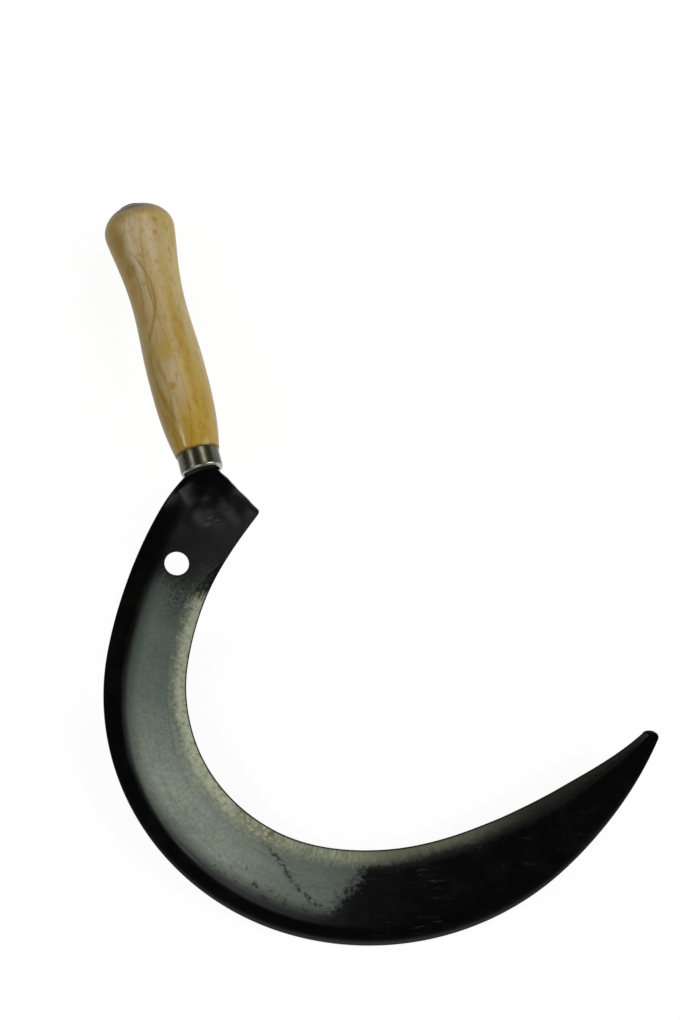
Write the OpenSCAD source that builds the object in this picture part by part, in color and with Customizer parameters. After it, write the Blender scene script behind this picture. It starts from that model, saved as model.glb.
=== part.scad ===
// Hand sickle: a forged crescent blade with its neck and tang in one piece, a turned
// wooden handle, a steel ferrule at the neck, and a washer under the riveted tang end.
//
// Everything is drawn in a blade frame: the origin is on the handle's axis at the
// ferrule's mouth, X and Y lie in the plane of the blade and Z points out of its front.
// The finished sickle then lies on a table, front up, on its butt and its back rim.

/* [Back of the blade: arcs from the neck to the tip] */
// Direction in which the back leaves the neck, degrees anticlockwise from +X
back_heading = -133.3; // [-136:0.1:-131]
// Radius of the back where the neck flares out
flare_r = 103; // [90:1:120]
// Turn of the back along the flare, degrees
flare_turn = 13.5; // [12:0.1:15]
// Radius of the back beside the heel and the hanging hole
throat_r = 253; // [225:1:285]
// Turn of the back beside the heel and the hanging hole, degrees
throat_turn = 17.9; // [16:0.1:20]
// Radius of the back round the bow
bow_r = 135; // [125:1:145]
// Turn of the back round the bow, degrees
bow_turn = 85.8; // [80:0.1:91]
// Radius of the back under the belly
belly_r = 144; // [134:1:154]
// Turn of the back under the belly, degrees
belly_turn = 60.5; // [56:0.1:65]
// Radius of the back up to the tip
beak_r = 200; // [180:1:220]
// Turn of the back up to the tip, degrees
beak_turn = 25.9; // [23:0.1:28]

/* [Width of the blade] */
// Width across the heel corner
heel_w = 50.4; // [48:0.1:54]
// Width at the throat, beside the hanging hole
throat_w = 40.3; // [38:0.1:43]
// Width half way round the bow
bow_w = 44.8; // [43:0.1:47]
// Width at the low end of the bow
low_w = 50.9; // [48:0.1:53]
// Greatest width, at the belly
belly_w = 54.9; // [52:0.1:57]
// Width where the blade starts to taper
nose_w = 49.1; // [46:0.1:51]
// Width half way down the taper
beak_w = 32.4; // [30:0.1:34]
// Width just behind the rounded tip
tip_w = 8.6; // [7:0.1:11]
// Length of the rounded tip
tip_round = 3.4; // [2.5:0.1:4.5]
// Distance along the back from the neck to the heel corner
heel_along = 23.5; // [22:0.1:26]
// Length over which the heel corner is rounded off
heel_round = 1.2; // [0.6:0.1:2]
// Distance along the back from the neck to the throat
throat_along = 56.5; // [54:0.1:62]

/* [Section of the blade] */
// Thickness of the plate
plate_t = 2.2; // [1.8:0.1:2.4]
// Thickness left at the cutting edge
edge_t = 0.4; // [0.3:0.05:0.8]
// Width of the ground bevel
bevel_w = 7.2; // [5:0.1:9]
// Length over which the ground bevel fades in before the throat
bevel_start = 15; // [12:0.5:20]
// Width of the rim along the back that curves away from the front
rim_w = 13; // [10:0.1:15]
// Depth by which the outer edge of the rim falls behind the front
rim_drop = 4.2; // [2.5:0.1:5.5]

/* [Hanging hole] */
// Radius of the hanging hole
hole_r = 6.2; // [4:0.1:6.8]
// Distance along the back from the neck to the middle of the hole
hole_along = 44.7; // [42:0.1:52]
// Distance from the back in to the middle of the hole
hole_inset = 19.5; // [18:0.1:22]

/* [Neck and tang] */
// Lean of the handle towards the back of the blade, degrees in the plane of the blade
lean = 17.4; // [14:0.1:21]
// Crank of the handle behind the plane of the blade, degrees
crank = 29.7; // [27:0.1:32]
// Width of the neck where it leaves the ferrule's mouth
neck_w = 14.6; // [13.6:0.1:14.8]
// Height of the neck's raised sides above the handle's axis, at the mouth
neck_rise = 4.5; // [4.2:0.1:4.7]
// Depth of the hollow forged between the raised sides
neck_dish = 2.4; // [1.4:0.1:2.6]
// Length over which the hollow runs out into the blade
dish_l = 34; // [28:1:44]
// Distance outside the mouth at which the neck starts to flare
flare_out = 0.6; // [0.5:0.1:1.2]
// Width of the tang where it enters the wood
tang_w = 6.6; // [5.4:0.1:7.2]
// Thickness of the tang where it enters the wood
tang_t = 4; // [3:0.1:4.6]
// Radius of the tang's end, drawn out round to be riveted
tang_end_r = 1.6; // [1.3:0.1:1.9]
// Radius of the rivet head hammered on the tang's end
rivet_r = 2.7; // [2.3:0.1:3.4]
// Height of the rivet head
rivet_h = 0.6; // [0.4:0.1:1]

/* [Handle] */
// Length of the wood that shows, from the ferrule to the top of the dome
handle_l = 141.5; // [130:0.1:156]
// Radius of the wood beside the ferrule
shoulder_r = 11.2; // [11:0.1:12.2]
// Radius of the belly of the grip
grip_r = 15; // [14.2:0.1:16.4]
// Distance from the ferrule to the belly of the grip
grip_at = 46.6; // [42:0.1:51]
// Radius of the waist
waist_r = 13.8; // [12.6:0.1:14.2]
// Distance from the ferrule to the waist
waist_at = 82.8; // [78:0.1:87]
// Greatest radius of the butt
butt_r = 18.4; // [17:0.1:20]
// Length of the domed end beyond the widest part of the butt
dome_l = 13.7; // [11.5:0.1:16]
// Length of the tenon inside the ferrule
tenon_l = 4.4; // [3.6:0.1:5]

/* [Ferrule and washer] */
// Outside radius of the ferrule
ferrule_r = 10.7; // [10.6:0.1:11]
// Length of the ferrule
ferrule_l = 10.4; // [9.8:0.1:12]
// Wall of the ferrule
ferrule_wall = 0.8; // [0.6:0.1:1.1]
// Thickness of the lip turned in at the ferrule's mouth
lip_t = 1; // [0.7:0.1:1.3]
// Radius of the opening in the lip
mouth_r = 8.8; // [8.7:0.1:9.0]
// Outside rounding of the lip
lip_round = 1.4; // [0.8:0.1:1.5]
// Radius of the butt washer
washer_r = 7.3; // [6.4:0.1:8.4]
// Thickness of the butt washer
washer_t = 0.8; // [0.6:0.1:1.2]
// Distance by which the tang comes out to the left of the handle's axis
tang_shift = 1.8; // [1:0.1:2.1]

/* [Clearances] */
// Gap round the tang in the wood and in the washer
tang_gap = 0.2; // [0.1:0.05:0.4]
// Gap between the tenon and the ferrule
tenon_gap = 0.1; // [0.05:0.05:0.3]
// Gap between the dome and the washer, and between the washer and the rivet head
seat_gap = 0.05; // [0.05:0.05:0.2]

/* [Hidden] */
$fn = 96;

// General helpers
function mix(a, b, x) = a * (1 - x) + b * x;
function clamp(x) = max(0, min(1, x));
function sum(list, i = 0) = i == len(list) ? 0 : list[i] + sum(list, i + 1);

// Directions of the handle in the blade frame: across to the right, out of its front,
// and along its axis to the butt
ACROSS = [cos(lean), sin(lean), 0];
FRONT = [-sin(crank) * sin(lean), sin(crank) * cos(lean), cos(crank)];
ALONG = [-cos(crank) * sin(lean), cos(crank) * cos(lean), -sin(crank)];
UP = [0, 0, 1];
function on_handle(v, f, u) = v * ACROSS + f * FRONT + u * ALONG;

// The neck's raised sides lie in the blade's front plane where they leave the mouth
NECK = on_handle(0, neck_rise - flare_out * tan(crank), -flare_out);
NECK_LEFT = NECK - neck_w / 2 * ACROSS;
NECK_RIGHT = NECK + neck_w / 2 * ACROSS;
FACE_Z = NECK[2];

// The back is a chain of arcs, each starting where the last one ends
ARCS = [[flare_r, flare_turn], [throat_r, throat_turn], [bow_r, bow_turn],
        [belly_r, belly_turn], [beak_r, beak_turn]];
function arc_l(arc) = arc[0] * arc[1] * PI / 180;
BACK_L = sum([for (arc = ARCS) arc_l(arc)]);
function on_arc(p, h, r, s) =
    let (h2 = h + s / r * 180 / PI)
    [p + r * [sin(h2) - sin(h), cos(h) - cos(h2)], h2];
function back_at(s, i = 0, p = [NECK_LEFT[0], NECK_LEFT[1]], h = back_heading) =
    s <= arc_l(ARCS[i]) || i == len(ARCS) - 1
        ? on_arc(p, h, ARCS[i][0], s)
        : let (end = on_arc(p, h, ARCS[i][0], arc_l(ARCS[i])))
          back_at(s - arc_l(ARCS[i]), i + 1, end[0], end[1]);

// Widths along the back, as [share of its length, width], joined by a smooth curve
WIDTHS = [[throat_along / BACK_L, throat_w], [0.29, bow_w], [0.472, low_w],
          [0.654, belly_w], [0.8, nose_w], [0.908, beak_w], [1, tip_w]];
LAST = len(WIDTHS) - 1;
function rise(i, j) = (WIDTHS[j][1] - WIDTHS[i][1]) / (WIDTHS[j][0] - WIDTHS[i][0]);
function slope_at(i) = i == 0 ? 0 : i == LAST ? rise(LAST - 1, LAST) : rise(i - 1, i + 1);
function smooth(x, h, a, b, ma, mb) =
    (2 * x ^ 3 - 3 * x ^ 2 + 1) * a + (x ^ 3 - 2 * x ^ 2 + x) * h * ma
    + (3 * x ^ 2 - 2 * x ^ 3) * b + (x ^ 3 - x ^ 2) * h * mb;
function width_at(f, i = 0) =
    f > WIDTHS[i + 1][0] && i < LAST - 1 ? width_at(f, i + 1) :
    let (h = WIDTHS[i + 1][0] - WIDTHS[i][0])
    smooth((f - WIDTHS[i][0]) / h, h, WIDTHS[i][1], WIDTHS[i + 1][1], slope_at(i), slope_at(i + 1));

// A row crosses the blade from the back to the edge: [run along the back, start,
// direction, width]. Rows fan from the heel corner until they stand square to the back.
HEEL_DIR = 0;
THROAT_DIR = back_at(throat_along)[1] + 90;
HEEL = back_at(heel_along)[0] + heel_w * [cos(HEEL_DIR), sin(HEEL_DIR)];
function row(s) =
    let (back = back_at(s), x = clamp((s - heel_along) / (throat_along - heel_along)),
         far = mix([NECK_RIGHT[0], NECK_RIGHT[1]], HEEL, clamp(s / heel_along)) - back[0])
    s <= heel_along ? [s, back[0], atan2(far[1], far[0]), norm(far)] :
    s < throat_along ? [s, back[0], mix(HEEL_DIR, THROAT_DIR, x), mix(throat_w, heel_w, (1 - x) ^ 2)] :
    [s, back[0], back[1] + 90, width_at(s / BACK_L)];

// The row at the heel corner stops short of it, between two rows that reach full width
HEEL_CUT = 0.45;
HEEL_FULL = row(heel_along);
HEEL_ROW = [HEEL_FULL[0], HEEL_FULL[1], HEEL_FULL[2], HEEL_FULL[3] - HEEL_CUT * heel_round];

// Rows of the rounded tip draw in from both sides, more from the edge's
TIP_SHARE = 0.38;
function tip_row(a) =
    let (back = back_at(BACK_L + tip_round * sin(a)), h = back[1], w = tip_w * cos(a))
    [BACK_L, back[0] + TIP_SHARE * (tip_w - w) * [-sin(h), cos(h)], h + 90, w];

NECK_ROWS = 8;
HEEL_ROWS = 7;
BLADE_ROWS = 62;
ROWS = concat(
    [for (i = [0 : NECK_ROWS - 1]) row(heel_along * i / NECK_ROWS)],
    [row(heel_along - heel_round), HEEL_ROW, row(heel_along + heel_round)],
    [for (i = [1 : HEEL_ROWS - 1]) row(mix(heel_along, throat_along, i / HEEL_ROWS))],
    [for (i = [0 : BLADE_ROWS]) row(mix(throat_along, BACK_L, i / BLADE_ROWS))],
    [for (a = [30, 55, 75]) tip_row(a)]);

// Stations across the front: even ones at the neck, which pass over by the heel into
// those of the rim, the flat and the bevel. Near the tip these narrow with the blade.
EVEN = [0, 0.17, 0.34, 0.5, 0.66, 0.83, 1];
RIM = [0, 0.25, 0.5, 0.75, 1];
FULL_W = 36;
MIN_BEVEL = 0.8;
function full(w) = min(1, w / FULL_W);
function grind(s) = clamp((s - throat_along) / bevel_start + 1);
function bevel_at(s, w) = min(bevel_w * full(w) * grind(s) + MIN_BEVEL, w / 2);
function stations(s, w) =
    let (x = clamp(s / heel_along), rim = rim_w * full(w))
    [for (i = [0 : 6]) mix(EVEN[i] * w, i < 5 ? RIM[i] * rim : i == 5 ? w - bevel_at(s, w) : w, x)];

// Depth of the front behind the blade's plane: the curved rim and the neck's hollow
function rim_fall(s, w) = rim_drop * full(w) * clamp((s - heel_along / 2) / throat_along);
function rim_part(v, w) = max(0, 1 - v / (rim_w * full(w)));
function hollow(s, v, w) = neck_dish * (1 - clamp(s / dish_l)) ^ 2 * (1 - (2 * v / w - 1) ^ 2);
function depth(s, v, w) = rim_fall(s, w) * rim_part(v, w) ^ 2 + hollow(s, v, w);
function rim_slope(s, v, w) = atan(2 * rim_fall(s, w) * rim_part(v, w) / (rim_w * full(w)));

// Section of the blade at a row: the front from the back rim to the edge, the rear back
// again, and the rounded outer edge of the rim last
EDGE_BULGE = 0.4;
ROUND = [-50, 0, 50];
function plate_section(s, w) =
    let (v = stations(s, w), edge = mix(plate_t, edge_t, grind(s)), a = rim_slope(s, 0, w),
         mid = [plate_t / 2 * sin(a), -depth(s, 0, w) - plate_t / 2 * cos(a)])
    concat(
        [for (i = [0 : 5]) [v[i], -depth(s, v[i], w)]],
        [[w, edge - plate_t], [w, -plate_t]],
        [for (i = [5 : -1 : 0]) let (b = rim_slope(s, v[i], w))
            [v[i] + plate_t * sin(b), -depth(s, v[i], w) - plate_t * cos(b)]],
        [for (b = ROUND) mid + plate_t * (sin(b) / 2 * [-sin(a), cos(a)]
            - EDGE_BULGE * cos(b) * [cos(a), sin(a)])]);
function lay(origin, across, up, pts) = [for (p = pts) origin + p[0] * across + p[1] * up];
function plate_ring(r) =
    lay([r[1][0], r[1][1], FACE_Z], [cos(r[2]), sin(r[2]), 0], UP, plate_section(r[0], r[3]));

// Section of the neck inside the ferrule and of the tang, with as many points: w wide
// and t thick, its front on the origin and hollowed by dish, its left side bulged
function bar_section(w, t, dish, bulge) =
    concat(
        [for (x = EVEN) [w * (x - 0.5), -dish * (1 - (2 * x - 1) ^ 2)]],
        [for (i = [6 : -1 : 0]) [w * (EVEN[i] - 0.5), -t - dish * (1 - (2 * EVEN[i] - 1) ^ 2)]],
        [for (b = ROUND) [-w / 2 - bulge * cos(b), t / 2 * (sin(b) - 1)]]);

// Inside the mouth the hollow neck closes up into the tang, and turns by the crank. Its
// shoulder stops just short of the tenon.
SHOULDER_GAP = 0.4;
TANG_IN = ferrule_l - tenon_l - SHOULDER_GAP;
TANG_BULGE = 0.3;
function neck_ring(x) =
    let (turn = crank * (1 - x))
    lay(mix(NECK, on_handle(0, tang_t / 2, TANG_IN), x), ACROSS,
        cos(turn) * FRONT - sin(turn) * ALONG,
        bar_section(mix(neck_w, tang_w, x), mix(plate_t, tang_t, x), neck_dish * (1 - x),
            mix(EDGE_BULGE * plate_t, TANG_BULGE, x)));

// The washer is struck from the centre of the dome's crown, and set over to the left by
// the tang, whose round end is riveted on it. Rings of the end lie square to its axis.
BUTT_AT = handle_l - dome_l;
DOME_R = butt_r ^ 2 / dome_l;
DOME_CENTRE = ferrule_l + handle_l - DOME_R;
END_TILT = asin(tang_shift / DOME_R);
WASHER_IN = DOME_R + seat_gap;
WASHER_OUT = WASHER_IN + washer_t;
HEAD = WASHER_OUT + seat_gap;
ROUND_ORDER = concat([for (i = [0 : 6]) 150 - 20 * i], [for (i = [0 : 6]) -30 - 20 * i], [198, 180, 162]);
function end_ring(h, r) =
    lay(on_handle(-h * sin(END_TILT), 0, DOME_CENTRE + h * cos(END_TILT)),
        cos(END_TILT) * ACROSS + sin(END_TILT) * ALONG, FRONT,
        [for (a = ROUND_ORDER) r * [cos(a), sin(a)]]);
HEAD_SIDE = 0.3;
ROUND_FROM = WASHER_IN - 2 * tang_gap;
function head_ring(a) =
    end_ring(HEAD + rivet_h * mix(HEAD_SIDE, 1, sin(a)), rivet_r * cos(a));
TANG_RINGS = concat(
    [for (a = [75, 50, 25, 0]) head_ring(a)],
    [end_ring(HEAD, rivet_r), end_ring(HEAD, tang_end_r), end_ring(ROUND_FROM, tang_end_r)],
    [for (x = [1, 0.75, 0.5, 0.25]) neck_ring(x)]);

// All rings are joined in order, and a strip of triangles closes each end
RINGS = concat(TANG_RINGS, [for (r = ROWS) plate_ring(r)]);
RING_N = len(RINGS[0]);
BLADE_PTS = [for (ring = RINGS) each ring];
CAP = concat(
    [for (j = [0 : 5]) each [[j, j + 1, 12 - j], [j, 12 - j, 13 - j]]],
    [[0, 13, 14], [0, 14, 15], [0, 15, 16]]);
CAP_AT = (len(RINGS) - 1) * RING_N;
BLADE_FACES = concat(
    [for (i = [0 : len(RINGS) - 2], j = [0 : RING_N - 1])
        let (a = i * RING_N + j, b = i * RING_N + (j + 1) % RING_N)
        each [[a, b, b + RING_N], [a, b + RING_N, a + RING_N]]],
    [for (t = CAP) [t[2], t[1], t[0]]],
    [for (t = CAP) [CAP_AT + t[0], CAP_AT + t[1], CAP_AT + t[2]]]);

// Middle of the hanging hole
HOLE_BACK = back_at(hole_along);
HOLE = HOLE_BACK[0] + hole_inset * [-sin(HOLE_BACK[1]), cos(HOLE_BACK[1])];

// Outline of the wood from the ferrule to the bore at the butt, as [radius, distance]
BORE_R = norm([tang_w / 2, tang_t / 2]) + tang_gap;
BORE_ANGLE = acos(BORE_R / butt_r);
EDGE_ROUND = 0.5;
SHOULDER_POWER = 2.8;
BUTT_POWER = 1.4;
function wood_r(d) =
    d < grip_at ? grip_r - (grip_r - shoulder_r) * (1 - d / grip_at) ^ SHOULDER_POWER :
    d < waist_at ? mix(waist_r, grip_r, (1 + cos(180 * (d - grip_at) / (waist_at - grip_at))) / 2) :
    mix(butt_r, waist_r, (1 - ((d - waist_at) / (BUTT_AT - waist_at)) ^ 2) ^ BUTT_POWER);
WOOD = concat(
    [[shoulder_r - EDGE_ROUND, 0], [wood_r(EDGE_ROUND), EDGE_ROUND]],
    [for (i = [1 : 11]) let (d = grip_at * (i / 12) ^ 1.3) [wood_r(d), d]],
    [for (i = [0 : 9]) let (d = mix(grip_at, waist_at, i / 9)) [wood_r(d), d]],
    [for (i = [1 : 14]) let (d = mix(waist_at, BUTT_AT, i / 15)) [wood_r(d), d]],
    [for (i = [0 : 13]) let (a = BORE_ANGLE * i / 13) [butt_r * cos(a), BUTT_AT + dome_l * sin(a)]]);

// The sickle is tilted about X until its butt and its back rim lie at one height
function low_blade(t) = min([for (p = BLADE_PTS) p[1] * sin(t) + p[2] * cos(t)]);
function low_handle(t) =
    let (k = ALONG[1] * sin(t) + ALONG[2] * cos(t))
    min([for (p = WOOD) (ferrule_l + p[1]) * k - p[0] * sqrt(1 - k ^ 2)]);
function level(lo = 0, hi = 30, n = 24) =
    let (t = (lo + hi) / 2)
    n == 0 ? t : low_blade(t) > low_handle(t) ? level(t, hi, n - 1) : level(lo, t, n - 1);
TILT = level();

// Its origin is under the middle of its bounding box
function tilted(p) = [p[0], p[1] * cos(TILT) - p[2] * sin(TILT), p[1] * sin(TILT) + p[2] * cos(TILT)];
REST_PTS = [for (p = BLADE_PTS) tilted(p)];
REST_ALONG = tilted(ALONG);
function reach(axis, sign) =
    let (k = REST_ALONG[axis])
    sign * max(concat([for (p = REST_PTS) sign * p[axis]],
        [for (p = WOOD) sign * (ferrule_l + p[1]) * k + p[0] * sqrt(1 - k ^ 2)]));
ORIGIN = [(reach(0, 1) + reach(0, -1)) / 2, (reach(1, 1) + reach(1, -1)) / 2, reach(2, -1)];

module at_rest() {
    translate(-ORIGIN) rotate([TILT, 0, 0]) children();
}

// Along the handle's axis, +Z towards the butt and +Y towards the back of the blade
module on_axis() {
    rotate([0, 90 + crank, 90 + lean]) children();
}

// Forged crescent with its rim, ground bevel, hollow neck, tang and riveted end
module blade() {
    color([0.1, 0.11, 0.11]) at_rest() difference() {
        polyhedron(BLADE_PTS, BLADE_FACES);
        translate([HOLE[0], HOLE[1], FACE_Z - 3 * plate_t]) cylinder(h = 6 * plate_t, r = hole_r);
    }
}

// Drawn steel cup with an opening in its turned-in lip
module ferrule() {
    inner = ferrule_r - ferrule_wall;
    burr = 0.2;
    color([0.62, 0.61, 0.55]) at_rest() on_axis() rotate_extrude() polygon(concat(
        [[mouth_r, lip_t], [mouth_r, burr], [mouth_r + burr, 0]],
        [for (a = [0 : 15 : 90]) [ferrule_r - lip_round * (1 - sin(a)), lip_round * (1 - cos(a))]],
        [[ferrule_r, ferrule_l], [inner, ferrule_l], [inner, lip_t]]));
}

// Turned grip, waisted before a bulbous butt, bored through for the tang
module handle() {
    tenon_r = ferrule_r - ferrule_wall - tenon_gap;
    color([0.76, 0.6, 0.33]) at_rest() on_axis() rotate_extrude() polygon(concat(
        [[BORE_R, ferrule_l - tenon_l], [tenon_r, ferrule_l - tenon_l], [tenon_r, ferrule_l]],
        [for (p = WOOD) [p[0], ferrule_l + p[1]]]));
}

// Thin washer dished to the dome, under the riveted end of the tang
module butt_washer() {
    hole = tang_end_r + tang_gap;
    shares = [0 : 0.2 : 1];
    color([0.5, 0.5, 0.46]) at_rest() on_axis() translate([0, 0, DOME_CENTRE]) rotate([-END_TILT, 0, 0])
        rotate_extrude() polygon(concat(
            [for (x = shares) let (r = mix(hole, washer_r, x)) [r, sqrt(WASHER_IN ^ 2 - r ^ 2)]],
            [for (x = shares) let (r = mix(washer_r, hole, x)) [r, sqrt(WASHER_OUT ^ 2 - r ^ 2)]]));
}

blade();
ferrule();
handle();
butt_washer();
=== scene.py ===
# %% [markdown]
# # A hand sickle
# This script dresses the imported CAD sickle: a forged crescent blade, a turned wooden
# handle, a steel ferrule and a washer under the riveted end of the tang. The CAD pieces
# have the right size and place, but their curves are made of flat facets. Each one is
# made again here as a finer mesh from the same measures, and gets its finish.

# %% Tools and frame
import math

import bmesh
import bpy
import numpy as np
from mathutils import Matrix, Vector, kdtree, noise


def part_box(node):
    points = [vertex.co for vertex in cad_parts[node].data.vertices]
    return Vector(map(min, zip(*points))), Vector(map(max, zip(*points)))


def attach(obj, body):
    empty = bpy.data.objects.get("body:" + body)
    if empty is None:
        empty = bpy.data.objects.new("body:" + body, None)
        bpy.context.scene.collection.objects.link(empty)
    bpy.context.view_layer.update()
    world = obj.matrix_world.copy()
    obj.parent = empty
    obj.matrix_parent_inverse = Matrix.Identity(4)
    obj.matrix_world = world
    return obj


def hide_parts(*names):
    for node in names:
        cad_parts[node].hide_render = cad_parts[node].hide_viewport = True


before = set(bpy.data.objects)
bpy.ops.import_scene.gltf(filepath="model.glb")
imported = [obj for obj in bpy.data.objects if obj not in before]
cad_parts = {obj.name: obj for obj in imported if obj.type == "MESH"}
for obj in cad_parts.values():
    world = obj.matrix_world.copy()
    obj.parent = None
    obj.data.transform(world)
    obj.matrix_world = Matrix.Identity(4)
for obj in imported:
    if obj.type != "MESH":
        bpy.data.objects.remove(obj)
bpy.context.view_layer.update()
print("CAD nodes:", sorted(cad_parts))

# %% [markdown]
# ## Camera
# The photograph looks straight down on the table from about a metre. The camera has the
# same place and the same angle of view, so that the render and the photograph can be
# laid over each other. The roll is the small turn of the picture against the table.

# %% Camera
CAMERA_AT = (-0.02094, 0.03580, 1.08971)
CAMERA_ROLL = 0.08
LONG_SIDE_VIEW = 28
SENSOR = 36

camera_data = bpy.data.cameras.new("camera")
camera_data.sensor_width = SENSOR
camera_data.lens = SENSOR / 2 / math.tan(math.radians(LONG_SIDE_VIEW / 2))
camera = bpy.data.objects.new("camera", camera_data)
camera.location = CAMERA_AT
camera.rotation_euler = (0, 0, math.radians(CAMERA_ROLL))
bpy.context.scene.collection.objects.link(camera)
bpy.context.scene.camera = camera
print("lens", round(camera_data.lens, 2), "mm")

# %% [markdown]
# ## Measures and axes
# The measures are those of the CAD source, in millimetres. Everything is drawn in a
# blade frame first: its origin is in the ferrule's mouth, and its Z stands out of the
# blade's front. At rest this frame is tilted about X, so that the sickle lies on its
# butt and its back rim.

# %% Measures and axes
MM = 0.001
MOUTH_AT = np.array([-90.147, 54.550, 59.263])
REST_TILT = math.radians(12.8707)
LEAN, CRANK = math.radians(17.4), math.radians(29.7)

ACROSS = np.array([math.cos(LEAN), math.sin(LEAN), 0])
FRONT = np.array([-math.sin(CRANK) * math.sin(LEAN), math.sin(CRANK) * math.cos(LEAN),
                  math.cos(CRANK)])
ALONG = np.array([-math.cos(CRANK) * math.sin(LEAN), math.cos(CRANK) * math.cos(LEAN),
                  -math.sin(CRANK)])


def on_handle(across, front, along):
    """A point given by its distances in the handle's own directions."""
    return across * ACROSS + front * FRONT + along * ALONG


def turn_to_rest(vectors):
    """Directions of the blade frame, turned as the sickle lies."""
    x, y, z = np.atleast_2d(vectors).T
    c, s = math.cos(REST_TILT), math.sin(REST_TILT)
    return np.column_stack([x, y * c - z * s, y * s + z * c])


def at_rest(points):
    """Points of the blade frame in millimetres, placed on the table in metres."""
    return (turn_to_rest(points) + MOUTH_AT) * MM


print("handle falls by", round(math.degrees(math.asin(-turn_to_rest(ALONG)[0][2])), 1), "degrees")

# %% [markdown]
# ## The back of the blade
# A smith bends the back of a sickle over the anvil in a few sweeps. Five arcs that run
# smoothly into each other are enough to follow it from the neck to the tip, and a
# smooth curve through seven widths gives the distance from the back to the edge. The
# hammer left small bumps in the edge of the neck, up to the heel.

# %% Back and widths
PLATE_T, EDGE_T = 2.2, 0.4
NECK_W, NECK_RISE, NECK_DISH, DISH_L, FLARE_OUT = 14.6, 4.5, 2.4, 34, 0.6
BACK_HEADING = -133.3
BACK_ARCS = ((103, 13.5), (253, 17.9), (135, 85.8), (144, 60.5), (200, 25.9))
HEEL_ALONG, HEEL_W, HEEL_ROUND, HEEL_CUT = 23.5, 50.4, 1.2, 0.45
THROAT_ALONG, TIP_W, TIP_ROUND, TIP_SHARE = 56.5, 8.6, 3.4, 0.38
BUMP_H, BUMP_SPACING, BUMP_PLACE, BUMP_RISE, BUMP_FALL = 0.5, 3.1, (0.4, 2.6), 5, 3
BACK_L = sum(radius * math.radians(turn) for radius, turn in BACK_ARCS)
WIDTHS = ((THROAT_ALONG / BACK_L, 40.3), (0.29, 44.8), (0.472, 50.9), (0.654, 54.9),
          (0.8, 49.1), (0.908, 32.4), (1, TIP_W))

NECK = on_handle(0, NECK_RISE - FLARE_OUT * math.tan(CRANK), -FLARE_OUT)
NECK_LEFT = (NECK - NECK_W / 2 * ACROSS)[:2]
NECK_RIGHT = (NECK + NECK_W / 2 * ACROSS)[:2]


def clamp(x):
    return min(max(x, 0), 1)


def mix(a, b, x):
    return a * (1 - x) + b * x


def unit(angle):
    return np.array([math.cos(angle), math.sin(angle)])


def back_at(run):
    """Point and heading on the back, so many millimetres from the neck."""
    point, heading = NECK_LEFT, math.radians(BACK_HEADING)
    for radius, turn in BACK_ARCS:
        last = (radius, turn) == BACK_ARCS[-1]
        part = run if last else min(run, radius * math.radians(turn))
        end = heading + part / radius
        point = point + radius * np.array([math.sin(end) - math.sin(heading),
                                           math.cos(heading) - math.cos(end)])
        heading, run = end, run - part
        if run <= 0:
            break
    return point, heading


def width_at(share):
    """Smooth curve through WIDTHS, level at the throat."""
    x, y = np.array(WIDTHS).T
    slopes = np.concatenate([[0], (y[2:] - y[:-2]) / (x[2:] - x[:-2]),
                             [(y[-1] - y[-2]) / (x[-1] - x[-2])]])
    i = min(max(int(np.searchsorted(x, share, "right")) - 1, 0), len(x) - 2)
    h = x[i + 1] - x[i]
    t = (share - x[i]) / h
    return ((2 * t**3 - 3 * t**2 + 1) * y[i] + (t**3 - 2 * t**2 + t) * h * slopes[i]
            + (3 * t**2 - 2 * t**3) * y[i + 1] + (t**3 - t**2) * h * slopes[i + 1])


THROAT_DIR = back_at(THROAT_ALONG)[1] + math.pi / 2
HEEL = back_at(HEEL_ALONG)[0] + np.array([HEEL_W, 0])


def row(run):
    """One row across the blade: its start on the back, its direction and its width."""
    start, heading = back_at(run)
    if run <= HEEL_ALONG:
        far = mix(NECK_RIGHT, HEEL, run / HEEL_ALONG) - start
        direction, width = math.atan2(far[1], far[0]), float(np.hypot(*far))
    elif run < THROAT_ALONG:
        x = (run - HEEL_ALONG) / (THROAT_ALONG - HEEL_ALONG)
        direction, width = THROAT_DIR * x, mix(WIDTHS[0][1], HEEL_W, (1 - x) ** 2)
    else:
        direction, width = heading + math.pi / 2, width_at(run / BACK_L)
    corner = max(0, 1 - abs(run - HEEL_ALONG) / HEEL_ROUND)
    bumps = (BUMP_H * noise.noise(Vector((run / BUMP_SPACING, *BUMP_PLACE)))
             * clamp(run / BUMP_RISE) * clamp((HEEL_ALONG - run) / BUMP_FALL))
    return start, direction, width - HEEL_CUT * HEEL_ROUND * corner ** 2 + bumps


print("back", round(BACK_L), "mm long, widest", round(max(w for _, w in WIDTHS), 1), "mm")

# %% [markdown]
# ## The section of the blade
# Across the blade come a rim that curls away along the back, a flat web and the ground
# bevel. The neck is hollow between two raised sides. The real plate is never quite
# flat: long shallow waves break up its reflections, the hammer left small dents in the
# neck, and two fine creases follow the rim at the bottom of the bow. They are in the
# mesh, so they show from every side.

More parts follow.
